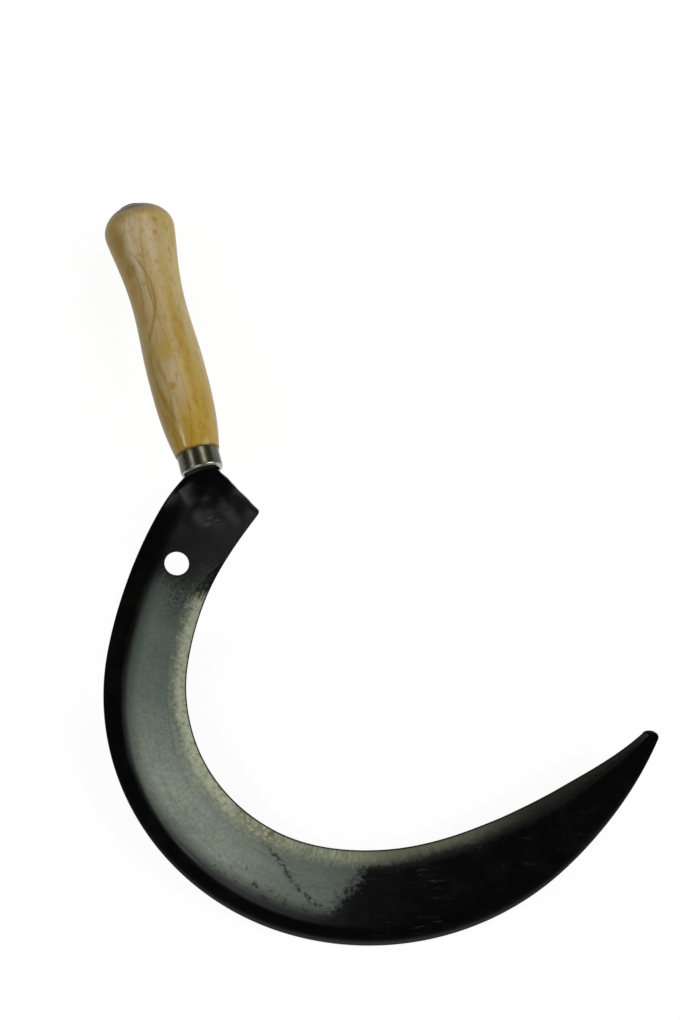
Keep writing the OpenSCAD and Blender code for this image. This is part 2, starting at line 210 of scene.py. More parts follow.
# %% Section
RIM_W, RIM_DROP, FULL_W = 13, 4.2, 36
BEVEL_W, BEVEL_START, MIN_BEVEL = 7.2, 15, 0.8
EDGE_BULGE = 0.4
EVEN = (0, 0.17, 0.34, 0.5, 0.66, 0.83, 1)
COLUMNS = np.concatenate([np.linspace(0, 4, 27)[:-1], np.linspace(4, 5, 31)[:-1],
                          np.linspace(5, 6, 11)])
ROUND = np.radians([-75, -50, -25, 0, 25, 50, 75])
WAVE_SIZE, WAVE_DEPTH, WAVE_PLACE = 42, 0.1, 1.7
DENT_SIZE, DENT_DEPTH, DENT_PLACE = 6.5, 0.16, 5.2
CREASES, CREASE_W = ((13.2, 0.07), (14.3, 0.05)), 0.35
CREASE_START, CREASE_RISE, CREASE_END, CREASE_FALL = 165, 30, 275, 35
CREASE_MIDDLE, CREASE_SLOPE = 220, 0.012


def plate_waves(x, y, run, share):
    """Height of the plate's waves and of the dents that the hammer left in the neck."""
    wave = WAVE_DEPTH * noise.noise(Vector((x / WAVE_SIZE, y / WAVE_SIZE, WAVE_PLACE)))
    dent = DENT_DEPTH * noise.noise(Vector((x / DENT_SIZE, y / DENT_SIZE, DENT_PLACE)))
    inner = clamp(6 * share) * clamp(6 * (1 - share))
    return inner * (wave + dent * clamp(1.6 - run / HEEL_ALONG))


def creases(run, from_back):
    """Depth of the two fine creases beside the rim, at the bottom of the bow."""
    strength = clamp((run - CREASE_START) / CREASE_RISE) * clamp((CREASE_END - run) / CREASE_FALL)
    shift = CREASE_SLOPE * (run - CREASE_MIDDLE)
    return strength * sum(depth * np.exp(-((from_back - at - shift) / CREASE_W) ** 2)
                          for at, depth in CREASES)


def plate_section(run, start, direction, width):
    """Front, rear and rounded back edge of one row, as points of the blade frame."""
    full = min(1, width / FULL_W)
    rim, grind = RIM_W * full, clamp((run - THROAT_ALONG) / BEVEL_START + 1)
    bevel = min(BEVEL_W * full * grind + MIN_BEVEL, width / 2)
    across = mix(np.interp(COLUMNS, range(7), EVEN) * width,
                 np.interp(COLUMNS, [0, 4, 5, 6], [0, rim, width - bevel, width]),
                 clamp(run / HEEL_ALONG))
    fall = RIM_DROP * full * clamp((run - HEEL_ALONG / 2) / THROAT_ALONG)
    part = np.maximum(0, 1 - across / rim)
    dish = NECK_DISH * (1 - clamp(run / DISH_L)) ** 2 * (1 - (2 * across / width - 1) ** 2)
    slope = np.arctan(2 * fall * part / rim)
    xy = start + across[:, None] * unit(direction)
    waves = np.array([plate_waves(x, y, run, v / width) for (x, y), v in zip(xy, across)])
    height = waves - fall * part ** 2 - dish
    ground = (PLATE_T - mix(PLATE_T, EDGE_T, grind)) * np.maximum(0, COLUMNS - 5)
    front = np.column_stack([across, height - ground - creases(run, across)])
    rear = np.column_stack([across + PLATE_T * np.sin(slope),
                            height - PLATE_T * np.cos(slope)])[::-1]
    a = slope[0]
    middle = np.array([PLATE_T / 2 * math.sin(a), height[0] - PLATE_T / 2 * math.cos(a)])
    edge = middle + PLATE_T * (np.sin(ROUND)[:, None] / 2 * [-math.sin(a), math.cos(a)]
                               - EDGE_BULGE * np.cos(ROUND)[:, None] * [math.cos(a), math.sin(a)])
    section = np.vstack([front, rear, edge])
    points = np.column_stack([start + section[:, :1] * unit(direction), NECK[2] + section[:, 1]])
    return points, across, width


print(len(COLUMNS), "columns on each side of the blade")

# %% [markdown]
# ## Neck, tang and rivet
# Blade and tang are one forging. Inside the ferrule the hollow neck closes up into a
# square tang, which runs through the wood, is drawn out round at its end and is
# hammered over the washer. Each ring has as many points as a row of the blade, so the
# whole forging is one closed skin.

# %% Tang rings
TANG_W, TANG_T, TANG_BULGE, TANG_END_R, TANG_GAP, TANG_SHIFT = 6.6, 4, 0.3, 1.6, 0.2, 1.8
FERRULE_L, TENON_L, HANDLE_L, BUTT_R, DOME_L = 10.4, 4.4, 141.5, 18.4, 13.7
TANG_IN = FERRULE_L - TENON_L - 0.4
RIVET_R, RIVET_H, HEAD_SIDE, WASHER_R, WASHER_T, SEAT_GAP = 2.7, 0.6, 0.3, 7.3, 0.8, 0.05
DOME_R = BUTT_R ** 2 / DOME_L
DOME_CENTRE = FERRULE_L + HANDLE_L - DOME_R
END_TILT = math.asin(TANG_SHIFT / DOME_R)
END_AXIS = math.cos(END_TILT) * ALONG - math.sin(END_TILT) * ACROSS
END_ACROSS = math.cos(END_TILT) * ACROSS + math.sin(END_TILT) * ALONG
WASHER_IN, WASHER_OUT = DOME_R + SEAT_GAP, DOME_R + SEAT_GAP + WASHER_T
HEAD = WASHER_OUT + SEAT_GAP
SHARES = np.interp(COLUMNS, range(7), EVEN)


def neck_ring(x):
    """From the hollow neck in the mouth, x = 0, to the square tang, x = 1."""
    turn, dish = CRANK * (1 - x), NECK_DISH * (1 - x)
    width, thick = mix(NECK_W, TANG_W, x), mix(PLATE_T, TANG_T, x)
    bulge = mix(EDGE_BULGE * PLATE_T, TANG_BULGE, x)
    hollow = -dish * (1 - (2 * SHARES - 1) ** 2)
    section = np.vstack([
        np.column_stack([width * (SHARES - 0.5), hollow]),
        np.column_stack([width * (SHARES - 0.5), hollow - thick])[::-1],
        np.column_stack([-width / 2 - bulge * np.cos(ROUND), thick / 2 * (np.sin(ROUND) - 1)])])
    up = math.cos(turn) * FRONT - math.sin(turn) * ALONG
    origin = mix(NECK, on_handle(0, TANG_T / 2, TANG_IN), x)
    return origin + section[:, :1] * ACROSS + section[:, 1:] * up


RING_ANGLES = np.radians(np.concatenate([150 - 20 * COLUMNS, (-150 + 20 * COLUMNS)[::-1],
                                         180 - 0.36 * np.degrees(ROUND)]))


def end_ring(height, radius):
    """A round ring of the tang's end, square to its axis."""
    centre = on_handle(0, 0, DOME_CENTRE) + height * END_AXIS
    return centre + radius * (np.cos(RING_ANGLES)[:, None] * END_ACROSS
                              + np.sin(RING_ANGLES)[:, None] * FRONT)


tang_rings = [end_ring(HEAD + RIVET_H * mix(HEAD_SIDE, 1, math.sin(a)), RIVET_R * math.cos(a))
              for a in np.radians(np.arange(88, -1, -8))]
tang_rings += [end_ring(HEAD, RIVET_R), end_ring(HEAD, TANG_END_R),
               end_ring(WASHER_IN - 2 * TANG_GAP, TANG_END_R)]
tang_rings += [neck_ring(x) for x in np.linspace(1, 0.05, 20)]
print(len(tang_rings), "rings from the rivet to the mouth")

# %% [markdown]
# ## The forging as one mesh
# The rows and rings are joined with quads, like the hoops of a basket. Near the heel the
# rows stand close, because the corner is sharp there. Each point remembers how far it is
# along the back, from the back and from the edge, and whether it is on the front: the
# finish needs these measures later, to know where the plate was ground or rubbed bare.

# %% Helpers for meshes
def hoops(count, sides):
    """Quads between rings of points, and a cap on the first and on the last ring."""
    quads = [(i * sides + j, i * sides + (j + 1) % sides,
              (i + 1) * sides + (j + 1) % sides, (i + 1) * sides + j)
             for i in range(count - 1) for j in range(sides)]
    last = range((count - 1) * sides, count * sides)
    return quads + [tuple(range(sides)), tuple(reversed(last))]


def new_object(name, points, faces=(), edges=()):
    mesh = bpy.data.meshes.new(name)
    mesh.from_pydata([tuple(p) for p in points], edges, faces)
    piece = bpy.data.objects.new(name, mesh)
    bpy.context.scene.collection.objects.link(piece)
    return piece


def tidy_mesh(mesh, sharp_over=30, merge=1e-6):
    """Merges doubles, turns all faces outwards and smooths all but the sharp edges."""
    work = bmesh.new()
    work.from_mesh(mesh)
    bmesh.ops.remove_doubles(work, verts=work.verts, dist=merge)
    bmesh.ops.dissolve_degenerate(work, edges=work.edges, dist=merge)
    bmesh.ops.recalc_face_normals(work, faces=work.faces)
    work.to_mesh(mesh)
    work.free()
    for face in mesh.polygons:
        face.use_smooth = True
    mesh.set_sharp_from_angle(angle=math.radians(sharp_over))


# %% Loft the forging
STEP, FINE_STEP = 1.25, 0.8
TIP_ANGLES = np.radians([15, 30, 45, 60, 72, 82, 88])
heel_start, heel_end = HEEL_ALONG - HEEL_ROUND, HEEL_ALONG + HEEL_ROUND
fine_end = THROAT_ALONG + BEVEL_START
coarse_start = fine_end + FINE_STEP
runs = np.concatenate([np.arange(0, heel_start, FINE_STEP),
                       np.linspace(heel_start, heel_end, 13),
                       np.arange(heel_end + 0.6, fine_end, FINE_STEP),
                       np.linspace(coarse_start, BACK_L, int((BACK_L - coarse_start) / STEP))])
TANG_MEASURES = [-20.0, 7, 7, 0]
rings = list(tang_rings)
measures = [np.tile(TANG_MEASURES, (len(ring), 1)) for ring in tang_rings]


def add_row(run, start, direction, width):
    """Adds one row, and for each point its distance along the back, from the back and
    from the edge, and 1 on the front."""
    points, across, width = plate_section(run, start, direction, width)
    sides = np.repeat([1, 0, 0.5], [len(across), len(across), len(ROUND)])
    v = np.concatenate([across, across[::-1], np.zeros(len(ROUND))])
    rings.append(points)
    measures.append(np.column_stack([np.full(len(v), run), v, width - v, sides]))


for run in runs:
    add_row(run, *row(run))
for angle in TIP_ANGLES:
    start, heading = back_at(BACK_L + TIP_ROUND * math.sin(angle))
    width = TIP_W * math.cos(angle)
    start = start + TIP_SHARE * (TIP_W - width) * unit(heading + math.pi / 2)
    add_row(BACK_L, start, heading + math.pi / 2, width)

loft_points = at_rest(np.vstack(rings))
loft_measures = np.vstack(measures)
blade = new_object("sickle_blade", loft_points, hoops(len(rings), len(rings[0])))
tidy_mesh(blade.data)
print(len(loft_points), "points,", len(blade.data.polygons), "faces")

# %% [markdown]
# ## The hanging hole
# The hole was punched, so its rims are slightly drawn in. A cutter with flared ends,
# taken away from the plate by a Boolean, leaves those rounded rims.

# %% Punch the hole
HOLE_R, HOLE_ALONG, HOLE_INSET, HOLE_FLARE = 6.2, 44.7, 19.5, 0.35
HOLE_SIDES = 96

hole_back, hole_heading = back_at(HOLE_ALONG)
hole_xy = hole_back + HOLE_INSET * unit(hole_heading + math.pi / 2)
FACE_Z = NECK[2]
REAR_Z = FACE_Z - PLATE_T
cutter_profile = [(HOLE_R + 3, FACE_Z + 3), (HOLE_R + HOLE_FLARE, FACE_Z + 0.05),
                  (HOLE_R + HOLE_FLARE / 4, FACE_Z - 0.25), (HOLE_R, FACE_Z - 0.6),
                  (HOLE_R, REAR_Z + 0.5), (HOLE_R + HOLE_FLARE, REAR_Z - 0.05),
                  (HOLE_R + 3, REAR_Z - 3)]
cutter_points = [(hole_xy[0] + r * math.cos(a), hole_xy[1] + r * math.sin(a), z)
                 for r, z in cutter_profile
                 for a in np.linspace(0, 2 * math.pi, HOLE_SIDES, endpoint=False)]
cutter = new_object("hole_cutter", at_rest(np.array(cutter_points)),
                    hoops(len(cutter_profile), HOLE_SIDES))
tidy_mesh(cutter.data)


def evaluated_mesh(piece):
    """The mesh of an object with its modifiers applied."""
    graph = bpy.context.evaluated_depsgraph_get()
    return bpy.data.meshes.new_from_object(piece.evaluated_get(graph))


punch = blade.modifiers.new("punch", "BOOLEAN")
punch.object, punch.operation, punch.solver = cutter, "DIFFERENCE", "EXACT"
punched = evaluated_mesh(blade)
blade.modifiers.remove(punch)
blade.data = punched
bpy.data.objects.remove(cutter)
tidy_mesh(blade.data)
print("blade has", len(blade.data.polygons), "faces after the punch")

# %% Hand each point its measures
MEASURES = ("along_mm", "back_mm", "edge_mm", "front")
lookup = kdtree.KDTree(len(loft_points))
for i, point in enumerate(loft_points):
    lookup.insert(point, i)
lookup.balance()
nearest = [lookup.find(v.co)[1] for v in blade.data.vertices]
for column, name in enumerate(MEASURES):
    values = loft_measures[nearest, column].astype(np.float32)
    blade.data.attributes.new(name, "FLOAT", "POINT").data.foreach_set("value", values)
print("measures on", len(nearest), "points")

# %% [markdown]
# ## A lathe made of nodes
# Handle, ferrule and washer are all turned round an axis. One Geometry Nodes tree does
# that for each of them: the outline, drawn once as a flat loop, is swept round a small
# circle. The number of sides is an input, so the same tree serves all three pieces.

# %% Build the lathe
LATHE_RAIL = 0.001
SIDES, WASHER_SIDES = 160, 96


def build_lathe():
    tree = bpy.data.node_groups.new("lathe", "GeometryNodeTree")
    socket = tree.interface.new_socket
    socket("Outline", in_out="INPUT", socket_type="NodeSocketGeometry")
    sides = socket("Sides", in_out="INPUT", socket_type="NodeSocketInt")
    finish = socket("Finish", in_out="INPUT", socket_type="NodeSocketMaterial")
    socket("Turned piece", in_out="OUTPUT", socket_type="NodeSocketGeometry")
    new = tree.nodes.new
    enter, leave = new("NodeGroupInput"), new("NodeGroupOutput")
    outline, shift = new("GeometryNodeMeshToCurve"), new("GeometryNodeTransform")
    rail, sweep = new("GeometryNodeCurvePrimitiveCircle"), new("GeometryNodeCurveToMesh")
    merge, realize = new("GeometryNodeMergeByDistance"), new("GeometryNodeRealizeInstances")
    paint = new("GeometryNodeSetMaterial")
    shift.inputs["Translation"].default_value = (-LATHE_RAIL, 0, 0)
    rail.inputs["Radius"].default_value = LATHE_RAIL
    merge.inputs["Distance"].default_value = 1e-7
    chain = (enter, outline, shift, sweep, merge, realize, paint, leave)
    for first, second in zip(chain, chain[1:]):
        entry = "Profile Curve" if second is sweep else 0
        tree.links.new(first.outputs[0], second.inputs[entry])
    tree.links.new(enter.outputs["Sides"], rail.inputs["Resolution"])
    tree.links.new(rail.outputs["Curve"], sweep.inputs["Curve"])
    tree.links.new(enter.outputs["Finish"], paint.inputs["Material"])
    return tree, sides.identifier, finish.identifier


lathe, SIDES_INPUT, FINISH_INPUT = build_lathe()


def turn(name, outline, sides, material, origin, x_axis, y_axis, z_axis, sharp_over=30):
    """Turns a closed outline of (radius, distance along) in mm and places the piece."""
    n = len(outline)
    loop = new_object(name, [(r * MM, -along * MM, 0) for r, along in outline],
                      edges=[(i, (i + 1) % n) for i in range(n)])
    spin = loop.modifiers.new("lathe", "NODES")
    spin.node_group = lathe
    spin[SIDES_INPUT] = sides
    spin[FINISH_INPUT] = material
    mesh = evaluated_mesh(loop)
    loop.modifiers.remove(spin)
    local = np.empty(3 * len(mesh.vertices))
    mesh.vertices.foreach_get("co", local)
    local = local.reshape(-1, 3) / MM
    placed = at_rest(origin + local[:, :1] * x_axis + local[:, 1:2] * y_axis
                     + local[:, 2:] * z_axis)
    mesh.vertices.foreach_set("co", placed.ravel())
    loop.data = mesh
    tidy_mesh(mesh, sharp_over)
    print(name, "radius", round(np.hypot(local[:, 0], local[:, 1]).max(), 2), "mm, along",
          round(local[:, 2].min(), 2), "to", round(local[:, 2].max(), 2), "mm")
    return loop


# %% [markdown]
# ## Shader helpers
# A finish is a small tree of nodes, and most of its nodes do arithmetic. So each output
# is wrapped here as a value: a sum or a product of values adds the math node and links
# it. Beside that, one helper fades softly between two levels, one makes spots, and one
# lays coats of colour over each other, each with its mask.

# %% Shader helpers
class Value:
    """An output of a shader node. Arithmetic on values adds math nodes to their tree."""

    def __init__(self, socket):
        self.socket, self.tree = socket, socket.id_data

    def __add__(self, other):
        return calc("ADD", self, other)

    def __sub__(self, other):
        return calc("SUBTRACT", self, other)

    def __rsub__(self, other):
        return calc("SUBTRACT", other, self)

    def __mul__(self, other):
        return calc("MULTIPLY", self, other)

    def __truediv__(self, other):
        return calc("DIVIDE", self, other)

    def __abs__(self):
        return calc("ABSOLUTE", self)


def fill(socket, value):
    """Links a value to a socket, or sets the socket to a constant."""
    if isinstance(value, Value):
        value.tree.links.new(value.socket, socket)
    else:
        socket.default_value = value


def add(kind, inputs, output=0, **settings):
    """Adds a node to the tree that its inputs come from, and gives one of its outputs."""
    tree = next(value.tree for value in inputs.values() if isinstance(value, Value))
    node = tree.nodes.new(kind)
    for name, value in settings.items():
        setattr(node, name, value)
    for key, value in inputs.items():
        fill(node.inputs[key], value)
    return Value(node.outputs[output])


def calc(operation, *values):
    return add("ShaderNodeMath", dict(enumerate(values)), operation=operation)


def highest(first, *others):
    for other in others:
        first = calc("MAXIMUM", first, other)
    return first


def vector(operation, *values):
    """Vector arithmetic. A length or a distance comes out as a plain value."""
    output = "Value" if operation in ("LENGTH", "DISTANCE") else "Vector"
    return add("ShaderNodeVectorMath", dict(enumerate(values)), output, operation=operation)


def split(value):
    """The three components of a vector."""
    node = add("ShaderNodeSeparateXYZ", {0: value}).socket.node
    return [Value(socket) for socket in node.outputs]


def stretched(at, scales):
    return add("ShaderNodeMapping", {"Vector": at, "Scale": scales})


def fade(value, low, high, start=0, end=1):
    """Runs softly from start at the level low to end at the level high."""
    levels = {"Value": value, "From Min": low, "From Max": high, "To Min": start, "To Max": end}
    return add("ShaderNodeMapRange", levels, interpolation_type="SMOOTHSTEP")


def noise_at(at, scale, detail, roughness=0.5, distortion=0):
    return add("ShaderNodeTexNoise", {"Vector": at, "Scale": scale, "Detail": detail,
                                      "Roughness": roughness, "Distortion": distortion}, "Fac")


def speckle(at, scale, low, high, detail=3):
    """A mask of spots: noise cut off between two levels."""
    return fade(noise_at(at, scale, detail, 0.6), low, high)


def spread(value, size):
    """Turns a noise of 0 to 1 into a shift of up to half the size either way."""
    return (value - 0.5) * size


def blend(mask, first, second):
    """The first colour where the mask is 0, the second where it is 1."""
    first, second = ((*c, 1) if isinstance(c, tuple) else c for c in (first, second))
    return add("ShaderNodeMix", {0: mask, 6: first, 7: second}, 2, data_type="RGBA")


def painted(colour, *coats):
    """Lays coats over a colour, each given by its mask and its own colour."""
    for mask, coat in coats:
        colour = blend(mask, colour, coat)
    return colour


# %% [markdown]
# ## Effects that several finishes share
# Hairline scratches and the fine unevenness of a surface are on steel, lacquer and
# varnish alike. Each is a node group with named inputs, built once.

# %% Shared effects
def effect_group(name, numbers, output):
    """A group that takes coordinates and some numbers, and puts out one value."""
    tree = bpy.data.node_groups.new(name, "ShaderNodeTree")
    socket = tree.interface.new_socket
    socket("Coordinates", in_out="INPUT", socket_type="NodeSocketVector")
    for label, value in numbers.items():
        kind = "NodeSocketVector" if isinstance(value, tuple) else "NodeSocketFloat"
        socket(label, in_out="INPUT", socket_type=kind).default_value = value
    socket(output, in_out="OUTPUT", socket_type="NodeSocketFloat")
    given, result = tree.nodes.new("NodeGroupInput"), tree.nodes.new("NodeGroupOutput")
    return tree, {s.name: Value(s) for s in given.outputs}, result.inputs[output]


def build_hairlines():
    """Thin broken lines along one direction, where two noises cross a level."""
    tree, given, mask = effect_group("hairlines", {"Stretch": (1, 1, 1), "Scale": 60,
                                                   "Share": 0.4}, "Mask")
    at = given["Coordinates"]
    lines = noise_at(vector("MULTIPLY", at, given["Stretch"]), given["Scale"], 3, distortion=0.1)
    thin = fade(abs(lines - 0.5), 0.012, 0)
    level = 0.78 - given["Share"] * 0.4
    fill(mask, thin * fade(noise_at(at, 95, 2) - level, 0, 0.08))
    return tree


def build_unevenness():
    """Slow and fine unevenness of a coated or rubbed surface, for roughness and bump."""
    tree, given, height = effect_group("unevenness", {"Slow scale": 60, "Fine scale": 900,
                                                      "Fine share": 0.3}, "Height")
    at = given["Coordinates"]
    slow, fine = noise_at(at, given["Slow scale"], 3), noise_at(at, given["Fine scale"], 2)
    fill(height, add("ShaderNodeMix", {0: given["Fine share"], 2: slow, 3: fine}))
    return tree


hairlines, unevenness = build_hairlines(), build_unevenness()


def effect(group, at, **numbers):
    """Places a shared effect in a finish, with the finish's own numbers."""
    node = at.tree.nodes.new("ShaderNodeGroup")
    node.node_tree = group
    fill(node.inputs["Coordinates"], at)
    for name, value in numbers.items():
        fill(node.inputs[name.replace("_", " ").capitalize()], value)
    return Value(node.outputs[0])


def new_finish(name):
    """An empty finish, with its shader node and its object coordinates."""
    material = bpy.data.materials.new(name)
    material.use_nodes = True
    nodes = material.node_tree.nodes
    at = Value(nodes.new("ShaderNodeTexCoord").outputs["Object"])
    return material, nodes["Principled BSDF"], at


def plug(shader, **sockets):
    for name, value in sockets.items():
        fill(shader.inputs[name.replace("_", " ").title().replace("Ior", "IOR")], value)


def bump(height, strength, distance):
    return add("ShaderNodeBump", {"Height": height, "Strength": strength, "Distance": distance},
               "Normal")


print("shared effects:", hairlines.name, unevenness.name)

# %% [markdown]
# ## Finish of the blade
# The forging was dipped in black lacquer. Along the edge it is ground, and round the bow
# the web is rubbed down to grey-green steel, with a mottled border, pits near the hole,
# and dark specks where lacquer stayed. The measures that each point carries say how far
# a spot is along the blade, from its back and from its edge, in millimetres, so borders
# follow the blade, and noise frays them.

# %% Colours of the blade
LACQUER, LACQUER_GREY = (0.0009, 0.0009, 0.0009), (0.0045, 0.0045, 0.004)
SCRATCH_AND_HIGHLIGHT_GREY, STAIN = (0.06, 0.06, 0.055), (0.03, 0.035, 0.03)
WEB_STEEL, WEB_PALE_AND_SHEEN, WEB_DARK = (0.125, 0.157, 0.132), (0.315, 0.36, 0.29), (0.06, 0.075, 0.064)
GROUND_STEEL, GROUND_DARK = (0.35, 0.375, 0.265), (0.16, 0.17, 0.115)
GROUND_PALE_AND_HIGHLIGHT, GROUND_FAR = (0.62, 0.66, 0.48), (0.13, 0.137, 0.09)
RUST, FORGED_STEEL = (0.15, 0.115, 0.05), (0.1, 0.1, 0.095)
WEB_METAL, GROUND_METAL = 0.6, 0.25
SCUFF_AT, SCUFF_R, SCUFF_FLAT = (-0.087, 0.030, 0.058), 0.0095, (1, 2.4, 1)
HOLE_AT = tuple(at_rest([(*hole_xy, FACE_Z)])[0])
print("hole at", [round(float(v), 4) for v in HOLE_AT])


# %% Blade finish
def measure_of(at, name):
    """One of the measures that the blade's points carry."""
    node = at.tree.nodes.new("ShaderNodeAttribute")
    node.attribute_name = name
    return Value(node.outputs["Fac"])


def blade_plane(along, across, along_scale, across_scale):
    """Coordinates that follow the blade, to draw strokes along it or across it."""
    return add("ShaderNodeCombineXYZ", {"X": along * along_scale, "Y": across * across_scale})


def blade_finish():
    material, shader, at = new_finish("blade_finish")
    along, from_back, from_edge, front = (measure_of(at, name) for name in MEASURES)
    fray, drift = noise_at(at, 330, 6, 0.7), noise_at(at, 34, 2)
    rubbed = noise_at(blade_plane(along, from_back, 0.035, 0.55), 1, 4, 0.6)
    strokes = noise_at(blade_plane(along, from_edge, 1.5, 0.16), 1, 3, 0.6)

    # where the lacquer is rubbed off the web, less what stayed on it
    begin = along + (spread(fray, 18) + spread(rubbed, 14))
    starts = fade(begin, 47, 64) * fade(along, 50, 85, 0.6)
    frayed = along + (spread(fray, 30) + spread(drift, 16))
    ends = fade(frayed - from_back * 0.7, 315, 302)
    from_rim = from_back - fade(along, 170, 280, 0, 5)
    off_rim = fade(from_rim + spread(rubbed, 4.5), 8, 19)
    # a ring of dark lacquer is kept round the hole: painted shade that widens the hole's dark rim
    clear_of_hole_shade = fade(vector("DISTANCE", at, HOLE_AT), (HOLE_R + 0.3) * MM, (HOLE_R + 1.1) * MM)
    spots = speckle(at, 480, 0.63, 0.7, 5) * speckle(at, 40, 0.48, 0.62) * 0.6
    marks = speckle(stretched(at, (1, 0.6, 1)), 260, 0.655, 0.71, 5)
    marks = marks * speckle(at, 34, 0.5, 0.6) * 0.6
    by_rim = (fade(along, 225, 250) * fade(along, 318, 300) * fade(from_back, 14, 17)
              * fade(from_back, 25, 20) * speckle(at, 300, 0.56, 0.62) * 0.8)
    pitted = fade(along, 86, 58) * fade(from_back, 14, 28) * speckle(at, 800, 0.42, 0.58) * 0.85
    clean = 1 - highest(spots, marks, by_rim, pitted)
    bare = starts * ends * off_rim * clear_of_hole_shade * front * clean

    # where the edge is ground, with a faint hint of it further up
    full = calc("MINIMUM", (from_back + from_edge) / FULL_W, 1)
    border = from_edge / full + spread(strokes, fade(along, 250, 320, 4, 5))
    border = border + spread(fray, fade(along, 320, 250, 6, 9))
    border = border + fade(along, 335, 400, 0, 2.3) + fade(along, 230, 130, 0, 0.7)
    ground = (fade(border, 10.5, 3.5) * fade(begin, 52, 65) * front
              * fade(along, 485, 405, 0.12))
    hint = (fade(border, 13, 8) * fade(along, 34, 54) * front
            * speckle(at, 800, 0.35, 0.65, 4) * fade(along, 485, 405) * 0.06)
    ground = highest(ground, hint)

    # lacquer, with hairlines, a painted highlight along one crease, a scuff above the hole and
    # scrapes
    lines = effect(hairlines, blade_plane(along, from_back, MM, MM), stretch=(1, 8, 1), scale=26,
                   share=0.5)
    crease_highlight = (fade(abs(from_back - (along * 0.05 + 0.25)), 0.45, 0.1) * fade(along, 214, 224)
              * fade(along, 242, 232))
    from_scuff = vector("LENGTH", vector("MULTIPLY", vector("SUBTRACT", at, SCUFF_AT), SCUFF_FLAT))
    scuff = (fade(from_scuff, SCUFF_R, SCUFF_R / 3)
             * speckle(stretched(at, (0.6, 1.3, 1)), 520, 0.5, 0.62, 4) * 0.6)
    scrapes = (speckle(stretched(at, (0.2, 1, 1)), 400, 0.565, 0.68, 4)
               * speckle(at, 50, 0.46, 0.62) * fade(along, 322, 345)
               * fade(along, 500, 400, 0.12) * 0.42)
    lacquer = blend(speckle(at, 70, 0.45, 0.8), LACQUER, LACQUER_GREY)
    lacquer = blend(highest(lines * 0.12, crease_highlight, scuff, scrapes), lacquer, SCRATCH_AND_HIGHLIGHT_GREY)

    # web, palest at the low end of the bow, where paler steel carries a painted sheen, with one
    # slanted dark streak
    pale_and_painted_sheen = fade(along, 100, 205) * fade(along, 300, 225, 0.3)
    streak = abs(from_back * 2.54 + along + spread(drift, 26) - 371)
    streak = fade(streak, 7.5, 1.5) * fade(from_back, 46, 41) * speckle(at, 420, 0.42, 0.58) * 0.9
    web = painted(blend(pale_and_painted_sheen, WEB_STEEL, WEB_PALE_AND_SHEEN),
                  (fade(noise_at(at, 22, 3), 0.35, 0.75, 0, 0.3), WEB_DARK),
                  (fade(rubbed, 0.48, 0.75, 0, 0.35), WEB_DARK),
                  (fade(noise_at(at, 500, 4, 0.65), 0.3, 0.7, 0, 0.35), WEB_DARK),
                  (fade(from_edge, 20, 10, 0, 0.2), WEB_DARK),
                  (fade(along, 305, 335, 0, 0.35), WEB_DARK),
                  (lines * 0.1, STAIN),
                  (streak, STAIN))

    # ground edge, pale round the bow, partly paler steel and partly a painted highlight, rusty at
    # its low end and dull towards the tip
    shade = fade(strokes, 0.35, 0.65) * fade(along, 180, 300, 0.3)
    rusty = (fade(along, 170, 215) * fade(along, 295, 260, 0.1, 0.7)
             * speckle(at, 160, 0.46, 0.66, 5))
    edge = painted(blend(shade, GROUND_STEEL, GROUND_DARK),
                   (fade(along, 315, 365, 0, 0.9), GROUND_FAR),
                   # painted highlight: round the bow the bevel is made paler than its steel
                   (fade(along, 265, 185, 0, 0.75) * fade(along, 75, 160, 0.65), GROUND_PALE_AND_HIGHLIGHT),
                   (fade(noise_at(at, 420, 5, 0.75), 0.44, 0.68, 0, 0.75), GROUND_DARK),
                   (rusty, RUST),
                   (speckle(at, 380, 0.5, 0.64, 5) * fade(along, 300, 250) * 0.6, GROUND_PALE_AND_HIGHLIGHT),
                   (fade(from_edge, 1, 0.3), LACQUER_GREY))
    tang = fade(along, -1, -4)
    colour = painted(lacquer, (bare, web), (ground, edge), (tang, FORGED_STEEL))

    # metal, roughness and relief
    metal = highest(bare, tang) * WEB_METAL * (1 - ground) + ground * GROUND_METAL
    skin = effect(unevenness, at, slow_scale=120, fine_scale=1400, fine_share=0.35)
    matt_band = fade(border, 14, 10.5) * fade(along, 345, 400) * 0.25
    plug(shader, base_color=colour, metallic=metal, specular_ior_level=0.14,
         roughness=fade(metal, 0, 0.5, 0.11, 0.36) + skin * 0.12 + matt_band,
         normal=bump(skin - lines * 0.1, 0.25, 0.0002))
    return material


blade_paint = blade_finish()
blade.data.materials.clear()
blade.data.materials.append(blade_paint)
print("blade finish has", len(blade_paint.node_tree.nodes), "nodes")

# %% [markdown]
# ## The handle
# The wood was turned on a lathe: thin at the ferrule, full in the palm, waisted, and
# ending in a bulb that keeps the hand from slipping off. Its outline is one power
# curve, half a cosine and another power curve, and an elliptical dome.

# %% Handle outline
SHOULDER_R, GRIP_R, GRIP_AT, WAIST_R, WAIST_AT = 11.2, 15, 46.6, 13.8, 82.8
SHOULDER_POWER, BUTT_POWER, EDGE_ROUND = 2.8, 1.4, 0.5
FERRULE_R, FERRULE_WALL, TENON_GAP = 10.7, 0.8, 0.1
BUTT_AT = HANDLE_L - DOME_L
BORE_R = math.hypot(TANG_W / 2, TANG_T / 2) + TANG_GAP


def wood_radius(d):
    if d < GRIP_AT:
        return GRIP_R - (GRIP_R - SHOULDER_R) * (1 - d / GRIP_AT) ** SHOULDER_POWER
    if d < WAIST_AT:
        half_wave = (1 + math.cos(math.pi * (d - GRIP_AT) / (WAIST_AT - GRIP_AT))) / 2
        return mix(WAIST_R, GRIP_R, half_wave)
    return mix(BUTT_R, WAIST_R, (1 - ((d - WAIST_AT) / (BUTT_AT - WAIST_AT)) ** 2) ** BUTT_POWER)


